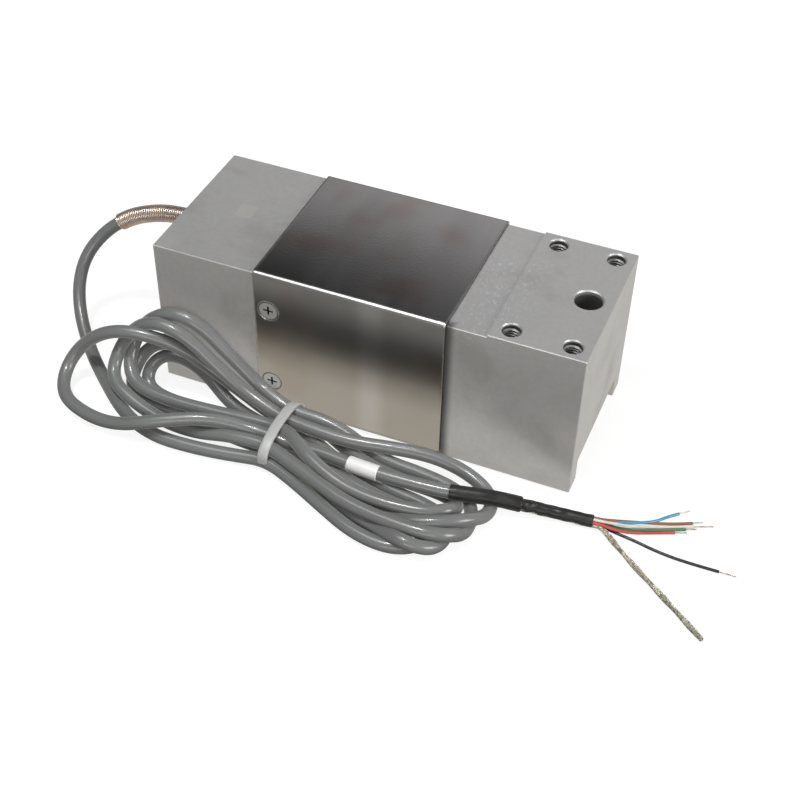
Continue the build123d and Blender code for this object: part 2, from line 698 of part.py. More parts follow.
for index, (colour, route) in enumerate(CONDUCTOR_ROUTES.items()):
    points = conductor_points(index, route)
    name = "shield_braid" if colour == "braid" else "conductor_" + colour
    diameter = BRAID_DIAMETER if colour == "braid" else CONDUCTOR
    nodes[name] = tube(points, diameter, turn_radii(points))
    report_tube(name, nodes[name], points, diameter)
    if colour in TIP_LENGTHS:
        end = Vector(route[-1])
        along = (end - Vector(route[-2])).normalized()
        tip = [tuple(end), tuple(end + along * TIP_LENGTHS[colour])]
        nodes["tip_" + colour] = tube(tip, TIP_DIAMETER, [])

for name, shape in nodes.items():
    export_step(shape, f"parts/{name}.step")
print(len(nodes), "nodes")
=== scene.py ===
# %% [markdown]
# # Single point load cell
# A milled aluminium beam with a folded steel cover in its middle. Its grey cable leaves
# through a spring guard, lies in front in a tied hank, and ends in six wires and a screen.
# ## The frame
# The imported CAD model is loaded first.
# %% Load the frame
import bpy
import bmesh
import math
import random
from mathutils import Matrix, Vector


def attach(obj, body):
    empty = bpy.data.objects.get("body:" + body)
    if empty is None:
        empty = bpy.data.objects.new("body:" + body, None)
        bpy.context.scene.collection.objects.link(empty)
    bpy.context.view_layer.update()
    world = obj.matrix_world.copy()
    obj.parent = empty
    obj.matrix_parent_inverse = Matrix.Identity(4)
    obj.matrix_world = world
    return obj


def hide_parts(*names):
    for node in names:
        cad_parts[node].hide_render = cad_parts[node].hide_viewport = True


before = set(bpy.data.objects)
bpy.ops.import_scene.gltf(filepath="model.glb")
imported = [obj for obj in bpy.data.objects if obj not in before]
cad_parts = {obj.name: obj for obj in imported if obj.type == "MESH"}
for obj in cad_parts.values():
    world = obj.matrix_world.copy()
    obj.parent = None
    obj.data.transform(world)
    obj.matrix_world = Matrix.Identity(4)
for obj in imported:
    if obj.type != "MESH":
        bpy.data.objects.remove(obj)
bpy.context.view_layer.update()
print("CAD nodes:", len(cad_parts))
# %% [markdown]
# ## The camera
# The camera stands where the block's edges, bolt holes and screws all fall on those of the
# photograph. It could be moved by eye, but a fit of many points at once also finds the lens.
# Its place and its directions are therefore plain numbers.
# %% Camera
camera_data = bpy.data.cameras.new("camera")
camera_data.lens = 64.03
camera_data.sensor_width = 36.0
camera = bpy.data.objects.new("camera", camera_data)
bpy.context.scene.collection.objects.link(camera)
right = Vector((0.9242, 0.3814, 0.0185)).normalized()
forward = Vector((-0.2678, 0.6819, -0.6807)).normalized()
up = right.cross(forward)
camera.matrix_world = Matrix.Translation((0.17947, -0.44762, 0.43483)) @ Matrix(
    (right, up, -forward)
).transposed().to_4x4()
bpy.context.scene.camera = camera
bpy.context.scene.view_settings.view_transform = "Standard"
print("camera at", [round(c, 3) for c in camera.location])
# %% [markdown]
# ## The cable
# One spline from the beam to the end of the jacket: round in the air, along the table, and
# five tied turns whose loops differ in size. Sizes here are in millimetres.
# %% Cable route
LEAD_IN = [  # out of the beam, round in the air and down to the table
    (-93, 0, 61), (-105, 0, 61), (-117.5, 0, 58.2), (-130, -1, 53), (-141.5, -4.5, 44.5),
    (-149, -12, 34), (-149.8, -20.5, 23), (-143.5, -31.5, 13.5), (-131.5, -44, 6), (-116, -57, 3),
    (-98, -71.5, 3),
]
TO_TIE = [  # along the table to the tie
    (-80, -78.6, 3), (-60, -78, 3), (-43, -75.8, 3.3),
]
RIGHT_1 = [  # lowest near strand, and back under everything
    (-28, -73.3, 4.1), (-12, -79.2, 3.2), (4, -87, 3), (19, -94.1, 3), (32, -97, 3), (42, -96, 3),
    (48.8, -91.6, 3), (50.6, -84.5, 3), (46.5, -78, 3), (39, -75.2, 3), (28, -74.2, 3),
    (14, -71.3, 3), (-2, -65.8, 3), (-15, -60.4, 3.5), (-28, -55.7, 4.1),
]
LEFT_1 = [  # innermost loop
    (-42, -52.8, 3.2), (-52, -49.8, 3.1), (-61, -46.4, 4.6), (-70, -42.4, 9.2),
    (-78.5, -40.8, 13.8), (-87, -40.8, 16), (-94, -42, 14.8), (-98.6, -46, 10.4), (-98, -51.4, 5.2),
    (-91, -54.8, 3.1), (-77, -56, 3), (-60, -57.8, 3), (-44, -60.4, 3.4),
]
RIGHT_2 = [  # outermost loop on the right
    (-28, -61.5, 4.1), (-14, -67.2, 3.4), (0, -73.2, 3.3), (12, -78.6, 3.3), (24, -81.2, 3.3),
    (34, -83.8, 4.6), (43, -85, 8), (52, -83, 9.4), (60, -78.6, 9.4), (65.5, -73, 7),
    (69.2, -65.5, 3.6), (68.5, -57, 3), (62, -50.5, 3.6), (51, -47, 5.6), (38, -46.8, 8),
    (22, -49.6, 9), (4, -53.6, 9.1), (-12, -54, 9.6), (-28, -52.7, 9.6),
]
LEFT_2 = [  # outer standing loop
    (-37, -51, 11), (-46, -49, 13.2), (-56, -47.4, 17.2), (-66, -46.8, 24.5), (-75, -46.6, 32.5),
    (-84, -46.6, 37), (-93, -46.4, 37.4), (-101, -45.6, 33), (-107.5, -45.6, 26.2),
    (-111.4, -49.5, 18.5), (-111.8, -55.8, 12), (-107.5, -61.5, 9.6), (-100, -65.3, 8.3),
    (-90, -68, 5.8), (-77, -70.2, 4.2), (-62, -71.2, 5), (-49, -70.9, 8.5), (-38, -70.4, 9.6),
]
RIGHT_3 = [  # near strand on top, far strand under the tail
    (-28, -70.3, 9.6), (-14, -75.6, 9.4), (0, -81.2, 9.2), (13, -86, 9), (26, -88.4, 9),
    (37, -89.6, 9.4), (47, -90, 9.6), (55, -88.6, 9.2), (60.5, -85, 7.4), (63.8, -78.8, 3.4),
    (64, -71, 3), (61.5, -63.5, 3), (56, -58.4, 3), (47, -55.3, 3), (34, -53.6, 3), (21, -53, 3),
    (10, -50.5, 3.4), (0, -47.5, 6.3), (-13, -46.4, 9.2), (-28, -46.8, 9.6),
]
LEFT_3 = [  # highest loop, against the beam
    (-37, -45, 12), (-46, -41.8, 13.8), (-55, -40.8, 20.5), (-64, -40.8, 28.6), (-72, -40.8, 36.4),
    (-82, -40.8, 40.6), (-91, -40.8, 39), (-98.5, -40.8, 33.8), (-103.5, -41.2, 27.5),
    (-106.5, -44, 20.4), (-106.5, -50.4, 14.4), (-102, -56.5, 10), (-92, -60.2, 8.8),
    (-76, -61.2, 8.8), (-58, -60.2, 9), (-42, -59, 9.6),
]
RIGHT_4 = [  # crosses over the tail beside the tie
    (-28, -58.6, 9.8), (-20, -63.8, 12.8), (-10, -71.5, 13.2), (1, -76.6, 11.4), (12, -79.6, 9.6),
    (26, -81, 9.2), (39, -80, 9), (49, -77.8, 9), (55, -73.5, 8.6), (57, -67.5, 4.4),
    (53, -62.4, 3), (43, -60.8, 3), (30, -60.7, 3), (14, -58.4, 3), (0, -53, 3), (-13, -46.3, 3.4),
    (-28, -43.9, 4.1),
]
LEFT_4 = [  # behind the others, against the beam
    (-40, -43.2, 4), (-50, -41.2, 5.2), (-58, -40.8, 8.4), (-67, -40.8, 13.4), (-76, -40.8, 18.8),
    (-86, -40.8, 22.4), (-95, -41, 21.4), (-102, -43.2, 16), (-105, -48, 9.8), (-104.4, -54, 5),
    (-99, -58.5, 3), (-89, -60.2, 3), (-76, -61.5, 3), (-60, -64, 3), (-44, -66.6, 3.5),
]
RIGHT_5 = [  # small front loop
    (-28, -67.4, 4.1), (-12, -72.6, 4), (0, -79, 3.6), (10, -83.9, 3.3), (20, -87.2, 3.2),
    (29, -89.9, 3.8), (36, -93.2, 6.2), (43, -96, 8.4), (50, -95.6, 6.8), (55.5, -91.5, 4.2),
    (57.5, -85, 3), (56.5, -78, 3), (51.5, -72.3, 3), (42, -69.4, 3), (30, -68.2, 3),
    (14, -64.6, 3), (-2, -60.2, 3), (-14, -54.3, 3.5), (-28, -49.8, 4.1),
]
LEFT_5 = [  # widest loop, over the lead-in
    (-41, -47.8, 6.4), (-51, -45, 8.6), (-60, -43.8, 12), (-69, -43.6, 16.8), (-78, -45, 23.6),
    (-87, -46.5, 28.2), (-95.5, -48.6, 30.6), (-104, -50.5, 31.8), (-113, -51.7, 29.8),
    (-121.5, -52.3, 24.6), (-129.5, -53.5, 16.6), (-133.4, -59, 9.5), (-131, -68.5, 6),
    (-124.5, -75.3, 5), (-114, -79.3, 4.8), (-103.5, -81.2, 5.2), (-93, -81.6, 7.4),
    (-83, -80, 10.8), (-71.5, -75.8, 13.2), (-60, -70.6, 14), (-49, -66.6, 12.4),
    (-39, -64.6, 10.2),
]
OUT = [  # under the fourth loop
    (-28, -64.4, 9.6), (-20, -64.7, 8.2), (-13, -64.5, 8.4),
]
TAIL = [  # to the end of the jacket and the sleeve
    (-6, -64.5, 9), (14, -66.5, 9), (34, -66, 9), (52, -64.5, 9), (68, -60, 8.6), (82, -55.5, 5.2),
    (97, -52.5, 3.4), (110, -51, 3),
]
HANK = (
    RIGHT_1 + LEFT_1 + RIGHT_2 + LEFT_2 + RIGHT_3 + LEFT_3 + RIGHT_4 + LEFT_4 + RIGHT_5 + LEFT_5
)
JACKET = LEAD_IN + TO_TIE + HANK + OUT + TAIL[:5] + [(75.4, -57.7, 6.8)]
print("cable control points:", len(JACKET))
# %% [markdown]
# ## Splines
# A cable is round, of one thickness, and follows a smooth line. It could be swept as a mesh
# from the start, but a spline needs few points and keeps its true length, and what sits on
# the cable can read its places from the same line.
# %% Spline helpers
MM = 0.001


def metres(points):
    """Points in millimetres as vectors in metres."""
    return [Vector(p) * MM for p in points]


def cord_curve(name, points, diameter, steps=6):
    """A round cord on one open spline. Its points carry the thickness, so that its box is true."""
    data = bpy.data.curves.new(name, "CURVE")
    data.dimensions = "3D"
    data.resolution_u = steps
    data.bevel_depth = 1.0
    data.bevel_resolution = 5
    data.use_fill_caps = True
    spline = data.splines.new("NURBS")
    spline.points.add(len(points) - 1)
    for place, point in zip(spline.points, metres(points)):
        place.co = (*point, 1)
        place.radius = diameter * MM / 2
    spline.order_u = 3
    spline.use_endpoint_u = True
    piece = bpy.data.objects.new(name, data)
    bpy.context.scene.collection.objects.link(piece)
    return piece


def line_of(points, steps=12):
    """The spline that these control points give, as places in metres."""
    guide = cord_curve("guide", points, 1, steps)
    guide.data.bevel_depth = 0
    mesh = bpy.data.meshes.new_from_object(guide)
    line = [v.co.copy() for v in mesh.vertices]
    bpy.data.objects.remove(guide)
    return line


def length_of(line):
    return sum((b - a).length for a, b in zip(line, line[1:]))


def along(line, start, end, step):
    """Places every step from start to end along a line, all in millimetres."""
    parts = round((end - start) / step)
    places, passed, index = [], 0, 0
    for i in range(parts + 1):
        want = start + i * (end - start) / parts
        while index < len(line) - 2 and passed + (line[index + 1] - line[index]).length / MM < want:
            passed += (line[index + 1] - line[index]).length / MM
            index += 1
        run = line[index + 1] - line[index]
        places.append(line[index] + run * ((want - passed) * MM / run.length))
    return places


print("spline helpers are ready")
# %% [markdown]
# ## The jacket
# The jacket is a grey plastic tube, the same from the beam to the sleeve. It is left as a
# curve and not turned into a mesh, because a curve stays light and its route can be changed
# by moving one point.
# %% Jacket
CABLE_DIAMETER = 5.9
cable = cord_curve("cable_jacket", JACKET, CABLE_DIAMETER, 8)
cable_line = line_of(JACKET, 8)
print("cable length, m:", round(length_of(cable_line), 3))
# %% [markdown]
# ## Swept pieces
# The spring, sleeves and strands follow lines too, but their sections aren't plain circles
# on the line. A curve's bevel can't crease or twist, so they are meshes: a ring of points at
# each place, and faces from ring to ring.
# %% Sweep
def frames_on(places):
    """Each place with its direction and two directions across it that don't twist."""
    across = Vector((0, 0, 1))
    result = []
    for i, place in enumerate(places):
        before, after = places[max(i - 1, 0)], places[min(i + 1, len(places) - 1)]
        ahead = (after - before).normalized()
        across = (across - ahead * across.dot(ahead)).normalized()
        result.append((place, ahead, across, ahead.cross(across)))
    return result


def outward(across, beside, angle):
    return across * math.cos(angle) + beside * math.sin(angle)


def wall(shape, rings):
    """Faces from each closed ring to the next."""
    for low, high in zip(rings, rings[1:]):
        for k in range(len(low)):
            n = (k + 1) % len(low)
            shape.faces.new((low[k], low[n], high[n], high[k]))


def sweep(shape, places, radius, sides):
    """A round tube with closed ends, in metres."""
    rings = []
    for place, ahead, across, beside in frames_on(places):
        angles = [math.tau * k / sides for k in range(sides)]
        rings.append([shape.verts.new(place + outward(across, beside, a) * radius) for a in angles])
    wall(shape, rings)
    shape.faces.new(list(reversed(rings[0])))
    shape.faces.new(rings[-1])


def finished(name, shape, smooth=True):
    """The mesh as an object in the scene."""
    bmesh.ops.recalc_face_normals(shape, faces=shape.faces)
    data = bpy.data.meshes.new(name)
    shape.to_mesh(data)
    shape.free()
    for face in data.polygons:
        face.use_smooth = smooth
    piece = bpy.data.objects.new(name, data)
    bpy.context.scene.collection.objects.link(piece)
    return piece


print("sweep helpers are ready")
# %% [markdown]
# ## The spring guard
# A spring of round steel wire, wound nearly closed, keeps the cable from kinking at the
# beam. A ribbed tube with a bump would look alike from afar, but its outline would be
# straight. So the wire is swept along a helix round the cable's own line.
# %% Spring guard
SPRING_LENGTH = 43.8
SPRING_PITCH = 0.985
SPRING_STEP = SPRING_PITCH / 20
SPRING_REACH = 3.575
SPRING_WIRE_RADIUS = 0.44


def helix(places, step, reach, pitch, phase=0.0, flat=1.0, twist=0.0):
    """Places round a line whose own places lie a step apart; a flat helix may itself be twisted."""
    result = []
    for i, (place, ahead, across, beside) in enumerate(frames_on(places)):
        turn = math.tau * (phase + i * step / pitch)
        lean = math.tau * i * step * twist
        wide = outward(across, beside, lean)
        thin = beside * math.cos(lean) - across * math.sin(lean)
        offset = wide * math.cos(turn) * reach + thin * math.sin(turn) * reach * flat
        result.append(place + offset * MM)
    return result


shape = bmesh.new()
turns = helix(along(cable_line, 0.0, SPRING_LENGTH, SPRING_STEP), SPRING_STEP, SPRING_REACH, SPRING_PITCH)
sweep(shape, turns, SPRING_WIRE_RADIUS * MM, 8)
spring = finished("spring_guard_coil", shape)
print("spring faces:", len(spring.data.polygons))
# %% [markdown]
# ## The sleeves
# Three thin tubes sit on the cable's tail: a white marker, and two black sleeves that were
# shrunk on with heat, so they have soft creases, deepest where the cable's step is. Sculpting
# the creases would not give the same shape twice, so each sleeve sums a few waves of chance
# length and turn, drawn from its own seed.
# %% Sleeves
SLEEVE_SIDES = 36
SLEEVE_STEP = 0.25
PINCH_DEPTH = 1.6
PINCH_LENGTH = 3.5
tail_line = line_of(TAIL, 16)


def creases(seed):
    """Seven soft waves, as a function of the place along the sleeve and the angle round it."""
    noise = random.Random(seed)
    waves = [
        (noise.uniform(0.5, 1.6), noise.uniform(0, 6.3), noise.choice((1, 2, 3)), noise.uniform(0, 6.3))
        for _ in range(7)
    ]
    return lambda at, angle: sum(
        math.sin(at * f + p) * math.cos(n * angle + q) for f, p, n, q in waves
    ) / len(waves)


def sleeve(name, start, end, outside, inside, crease, seed, pinch=None):
    """A thin open tube with rounded lips on the cable's tail, creased most at the pinch."""
    bump = creases(seed)
    places = along(tail_line, start, end, SLEEVE_STEP)
    last = len(places) - 1
    middle = (outside + inside) / 4
    shape = bmesh.new()
    outer, inner = [], []
    for i, (place, ahead, across, beside) in enumerate(frames_on(places)):
        at = i * SLEEVE_STEP
        lip = math.sin(min(1.0, min(i, last - i) / 2.0) * math.pi / 2)
        fold = crease
        if pinch is not None:
            fold *= 1 + PINCH_DEPTH * math.exp(-((at - pinch) / PINCH_LENGTH) ** 2)
        for rings, size in ((outer, outside / 2), (inner, inside / 2)):
            ring = []
            for k in range(SLEEVE_SIDES):
                angle = math.tau * k / SLEEVE_SIDES
                reach = middle + (size - middle) * lip + fold * bump(at, angle)
                ring.append(shape.verts.new(place + outward(across, beside, angle) * reach * MM))
            rings.append(ring)
    for rings in (outer, inner, (outer[0], inner[0]), (outer[-1], inner[-1])):
        wall(shape, rings)
    bmesh.ops.remove_doubles(shape, verts=shape.verts, dist=0.00001)
    return finished(name, shape)


marker = sleeve("marker_sleeve_white", 12.9, 27.0, 6.8, 6.0, 0.02, 3)
outer_sleeve = sleeve("outer_sleeve_black", 58.0, 88.0, 6.75, 6.0, 0.1, 5)
inner_sleeve = sleeve("inner_sleeve_black", 82.0, length_of(tail_line) / MM, 5.3, 4.7, 0.3, 8, 9)
print("sleeves:", marker.name, outer_sleeve.name, inner_sleeve.name)
# %% [markdown]
# ## The wires
# Six insulated wires leave the sleeve in a fan and end in short tinned tips, each of six
# strands laid round a middle one. The insulation is a spline like the jacket. The strands are
# swept, because the bare metal shows its twist. In the sleeve the wires lie round a circle.
# %% Wire routes
WIRE_DIAMETER = 1.3
IN_SLEEVE = [(77, -57.2, 6.3), (82, -55.5, 5.2), (97, -52.5, 3.4), (110, -51, 3), (114, -50.5, 2.9)]
WIRES = {  # offset to the rear and up in the sleeve, length of the bare tip, and the route outside
    "blue": (1.6, 0.0, 5.5, [
        (121.5, -47.6, 3.7), (127.5, -44.3, 3.1), (133.5, -40.2, 2.2), (137.2, -34.8, 1.3),
        (141.3, -30.6, 0.8),
    ]),
    "brown": (1.0, 1.25, 4.5, [
        (124.5, -45.5, 3.5), (134.5, -40.3, 1.6), (141.5, -36.8, 0.8), (147.7, -33.5, 0.7),
    ]),
    "white": (-0.36, 1.56, 8.0, [
        (124.5, -46.9, 2.3), (134.5, -41.7, 0.7), (141.5, -38.4, 0.7), (148.8, -35.2, 0.7),
    ]),
    "red": (-1.44, 0.69, 5.0, [
        (120, -51.4, 2.3), (126, -48.9, 0.9), (131.5, -46.4, 0.7), (137, -43.9, 0.7),
        (142.3, -41.6, 0.7),
    ]),
    "black": (-0.36, -1.56, 7.0, [
        (121, -51.4, 0.7), (129, -52.5, 0.7), (138, -54.4, 0.7), (150, -55.4, 0.7),
        (163.8, -54.9, 0.7),
    ]),
    "green": (1.0, -1.25, 4.5, [
        (122, -48.2, 0.7), (130, -45.3, 0.7), (138, -41.9, 0.7), (146, -38.1, 0.7),
    ]),
}
print("wires:", ", ".join(WIRES))
# %% Wires
TIP_INSIDE = 0.6
TIP_STEP = 0.2
STRAND_LAY = 5.5


def tip(colour, end, ahead, bare):
    """Six strands round a middle one, from just inside the insulation to the cut end."""
    start, stop = end - ahead * TIP_INSIDE, end + ahead * bare
    core = along([start * MM, stop * MM], 0, bare + TIP_INSIDE, TIP_STEP)
    shape = bmesh.new()
    for k in range(6):
        sweep(shape, helix(core, TIP_STEP, 0.2, STRAND_LAY, k / 6), 0.105 * MM, 6)
    sweep(shape, core, 0.12 * MM, 6)
    return finished("tip_strands_" + colour, shape)


wires, tips, wire_lines = {}, {}, {}
for colour, (rear, above, bare, route) in WIRES.items():
    inside = [(x, y + rear, z + above) for x, y, z in IN_SLEEVE]
    before, end = Vector(route[-2]), Vector(route[-1])
    wires[colour] = cord_curve("wire_" + colour, inside + route, WIRE_DIAMETER, 8)
    wire_lines[colour] = line_of(inside + route)
    tips[colour] = tip(colour, end, (end - before).normalized(), bare)
    print(colour, "wire, m:", round(length_of(wire_lines[colour]), 4))
# %% [markdown]
# ## The screen
# The cable's tinned screen is combed out and twisted into a flat tail. One tube with a woven
# bump would lose its ragged edge. So twenty strands, laid in two directions round five
# thicker ones, follow a flat helix that turns slowly on its way.
# %% Screen
BRAID = [(x, y - 1.44, z - 0.69) for x, y, z in IN_SLEEVE] + [
    (120.5, -57.2, 1.6), (131, -65.4, 1.3), (143, -74.4, 1.3), (154, -82.6, 1.3), (165.4, -91.3, 1.3)
]
BRAID_STEP = 0.5
BRAID_TWIST = 0.03
braid_line = line_of(BRAID)
core = along(braid_line, 0, length_of(braid_line) / MM, BRAID_STEP)
shape = bmesh.new()
for k in range(20):
    reach, lay = (1.0, 8) if k % 2 else (1.12, -14)
    sweep(shape, helix(core, BRAID_STEP, reach, lay, k / 20, 0.72, BRAID_TWIST), 0.17 * MM, 6)
for k in range(5):
    sweep(shape, helix(core, BRAID_STEP, 0.55, 9, k / 5, 0.6, BRAID_TWIST), 0.3 * MM, 6)
braid = finished("screen_braid", shape)
print("braid faces:", len(braid.data.polygons))
# %% [markdown]
# ## The cable tie
# A nylon strap holds the bundle, domed over the top strands and flat on the table, with its
# head at the rear. The loop is a curve between a circle and a box, with one power for the top
# and another underneath, and a strap with rounded edges follows it.
# %% Cable tie
TIE_MIDDLE = Vector((-28, -58.6, 6.5))
TIE_WIDTH = 4.7
TIE_THICKNESS = 1.1
TIE_REACH = 17.4
TIE_OVER = (7.4, 2.3)  # height above the middle and the curve's power
TIE_UNDER = (5.2, 3.6)
TIE_STEPS = 96
TIE_SECTION = [  # across and out, as shares of half the width and of the thickness
    (-1, 0.3), (-0.97, 0.7), (-0.88, 0.94), (-0.5, 1), (0.5, 1), (0.88, 0.94), (0.97, 0.7), (1, 0.3),
    (0.94, 0), (-0.94, 0),
]
TIE_HEAD = Vector((5.4, 3.0, 4.4))
TIE_HEAD_OFFSET = Vector((0, 18.4, -1.2))


def tie_place(i, out):
    """A place on the loop round the bundle, this far out from it."""
    angle = math.tau * i / TIE_STEPS
    c, s = math.cos(angle), math.sin(angle)
    high, power = TIE_OVER if s > 0 else TIE_UNDER
    reach = (abs(c) ** power + abs(s) ** power) ** (-1 / power)
    return c * reach * (TIE_REACH + out), s * reach * (high + out)


shape = bmesh.new()
rings = []
for i in range(TIE_STEPS):
    ring = []
    for across, out in TIE_SECTION:
        place = TIE_MIDDLE + Vector((across * TIE_WIDTH / 2, *tie_place(i, out * TIE_THICKNESS)))
        ring.append(shape.verts.new(place * MM))
    rings.append(ring)
wall(shape, rings + rings[:1])
head = bmesh.ops.create_cube(shape, size=1.0)["verts"]
bmesh.ops.scale(shape, vec=TIE_HEAD * MM, verts=head)
bmesh.ops.translate(shape, vec=(TIE_MIDDLE + TIE_HEAD_OFFSET) * MM, verts=head)
edges = list({edge for vert in head for edge in vert.link_edges})
bmesh.ops.bevel(shape, geom=edges, offset=0.5 * MM, segments=3, affect="EDGES", profile=0.5)
tie = finished("cable_tie_strap", shape)
print("tie faces:", len(tie.data.polygons))
# %% [markdown]
# ## The threads
# The bolt holes are tapped for 8 mm bolts, and their ridges catch the light. A bump can't
# stand out from the wall of a hole, so each thread is a thin ribbon with a ridge that climbs
# the wall. It grows from nothing at both ends, which start on the side next to the front.
# %% Threads
BOLT_X = (62.3, 87.7)
BOLT_Y = 30.5
THREAD_PITCH = 1.25
THREAD_SIDES = 30
THREAD_RUN_IN = 12
HOLE_WALL = 4.01
RIDGE_DEPTH = 0.65


def thread(name, x, y, low, high):
    """The ridges of one bolt hole, from low to high."""
    count = int((high - low) / THREAD_PITCH * THREAD_SIDES)
    shape = bmesh.new()
    rows = []
    for i in range(count + 1):
        angle = math.tau * i / THREAD_SIDES - math.pi / 2
        z = low + (high - low) * i / count
        crest = HOLE_WALL - RIDGE_DEPTH * min(1.0, i / THREAD_RUN_IN, (count - i) / THREAD_RUN_IN)
        rows.append([
            shape.verts.new(Vector((x + r * math.cos(angle), y + r * math.sin(angle), z + dz)) * MM)
            for r, dz in ((HOLE_WALL, -0.56), (crest, -0.08), (crest, 0.08), (HOLE_WALL, 0.56))
        ])
    for a, b in zip(rows, rows[1:]):
        for k in range(3):
            shape.faces.new((a[k], b[k], b[k + 1], a[k + 1]))
    return finished(name, shape, False)


threads = []
for x in BOLT_X:
    for y in (-BOLT_Y, BOLT_Y):
        threads.append(thread("thread_live", x, y, 53.5, 71.3))
        threads.append(thread("thread_fixed", -x, y, 1.2, 19.0))
print("threads:", len(threads))
# %% [markdown]
# ## Who takes the place of which CAD node
# The CAD model holds plain versions of the cord, sleeves, tie and spring. Each piece made
# here hides the plain one that it stands for, rides on the block and names its material.
# %% Replace, ride and slots
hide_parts("cable_lead_in", "cable_hank", "cable_tail")
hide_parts("spring_guard")
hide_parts("marker_sleeve")
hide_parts("outer_sleeve")
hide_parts("inner_sleeve")
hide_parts("shield_braid")
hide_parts("cable_tie")
for colour in WIRES:
    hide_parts("conductor_" + colour)
    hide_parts("tip_" + colour)
SLOTS = [
    (cable, "cable_jacket"), (spring, "spring"), (marker, "marker"), (outer_sleeve, "black_sleeve"),
    (inner_sleeve, "black_sleeve"), (braid, "braid"), (tie, "tie"),
]
SLOTS += [(wires[colour], colour + "_wire") for colour in WIRES]
SLOTS += [(tips[colour], "tinned") for colour in WIRES]
SLOTS += [(piece, "body") for piece in threads]
for piece, name in SLOTS:
    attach(piece, "root")
print("pieces made here:", len(SLOTS))
# %% [markdown]
# ## The cords and what shiny things see
# The steel's soft finish mirrors broad bands only, so the cable, its tie and its marker stay
# out of what shiny things see.
# %% Cords
cable.visible_glossy = tie.visible_glossy = marker.visible_glossy = False
for colour, (rear, above, bare, route) in WIRES.items():
    x, y, z = IN_SLEEVE[0]
print("cords:", 2 + len(WIRES))
# %% [markdown]
# ## Shared effects
# Every finish here needs the same two things: soft patches of another tone, and marks with a
# place of their own. Each is one node group that gives a mask, so that a material only says
# how large, where and how soft.
# %% Node helpers
def add(tree, kind, props=(), **inputs):
    """A node with its settings; i0, i1 and so on are its sockets by number, the rest by name."""
    node = tree.nodes.new("ShaderNode" + kind)
    for key, value in dict(props).items():
        setattr(node, key, value)
    for key, value in inputs.items():
        numbered = key[0] == "i" and key[1:].isdigit()
        socket = node.inputs[int(key[1:]) if numbered else key.replace("_", " ")]
        if isinstance(value, bpy.types.NodeSocket):
            tree.links.new(value, socket)
        else:
            socket.default_value = value
    return node


def new_group(name, inputs, output):
    """An empty node group with its inputs and one mask, and the sockets inside."""
    tree = bpy.data.node_groups.new(name, "ShaderNodeTree")
    for label, kind, value in inputs:
        socket = tree.interface.new_socket(label, in_out="INPUT", socket_type="NodeSocket" + kind)
        socket.default_value = value
    tree.interface.new_socket(output, in_out="OUTPUT", socket_type="NodeSocketFloat")
    given, out = tree.nodes.new("NodeGroupInput"), tree.nodes.new("NodeGroupOutput")
    return tree, given.outputs, out.inputs


def use(tree, effect, **inputs):
    """One use of a group in a material, and its mask."""
    node = tree.nodes.new("ShaderNodeGroup")
    node.node_tree = effect
    for key, value in inputs.items():
        node.inputs[key].default_value = value
    return node.outputs[0]


print("node helpers are ready")
# %% Effect: patches
PATCHES, given, out = new_group(
    "patches",
    [("Stretch", "Vector", (1, 1, 1)), ("Scale", "Float", 60), ("Detail", "Float", 4),
     ("Low", "Float", 0.45), ("High", "Float", 0.65)],
    "Mask",
)
place = add(PATCHES, "TexCoord").outputs["Object"]
place = add(PATCHES, "VectorMath", {"operation": "MULTIPLY"}, i0=place, i1=given["Stretch"]).outputs[0]
noise = add(PATCHES, "TexNoise", Vector=place, Scale=given["Scale"], Detail=given["Detail"]).outputs[0]
ranged = add(PATCHES, "MapRange", {"interpolation_type": "SMOOTHSTEP"}, Value=noise,
             From_Min=given["Low"], From_Max=given["High"])
PATCHES.links.new(ranged.outputs[0], out["Mask"])
print("effect:", PATCHES.name)
# %% Effect: zone
ZONE, given, out = new_group(
    "zone",
    [("Centre", "Vector", (0, 0, 0)), ("Turn", "Vector", (0, 0, 0)), ("Half", "Vector", (1, 1, 1)),
     ("Soft", "Float", 0.001)],
    "Mask",
)
place = add(ZONE, "TexCoord").outputs["Object"]
place = add(ZONE, "Mapping", {"vector_type": "TEXTURE"}, Vector=place, Location=given["Centre"],
            Rotation=given["Turn"]).outputs[0]
place = add(ZONE, "VectorMath", {"operation": "ABSOLUTE"}, i0=place).outputs[0]
place = add(ZONE, "VectorMath", {"operation": "SUBTRACT"}, i0=place, i1=given["Half"]).outputs[0]
parts = add(ZONE, "SeparateXYZ", i0=place).outputs
most = add(ZONE, "Math", {"operation": "MAXIMUM"}, i0=parts[0], i1=parts[1]).outputs[0]
most = add(ZONE, "Math", {"operation": "MAXIMUM"}, i0=most, i1=parts[2]).outputs[0]
ranged = add(ZONE, "MapRange", {"interpolation_type": "SMOOTHSTEP"}, Value=most,
             From_Min=given["Soft"], From_Max=0.0)
ZONE.links.new(ranged.outputs[0], out["Mask"])
print("effect:", ZONE.name)
# %% [markdown]
# ## One way to make a finish
# Every surface has two tones in patches, a roughness that may change with them, and a fine
# grain. Writing each material by hand would repeat this, so one function makes it, and a
# finish with marks of its own brings a function that adds them.
# %% Material helper
GRAIN_DEPTH = 0.0002


def grey(value):
    """The linear colour of a grey from 0 to 255, or of three such values."""
    values = (value,) * 3 if isinstance(value, (int, float)) else value
    return tuple(((v / 255 + 0.055) / 1.055) ** 2.4 if v > 10 else v / 3294 for v in values) + (1,)


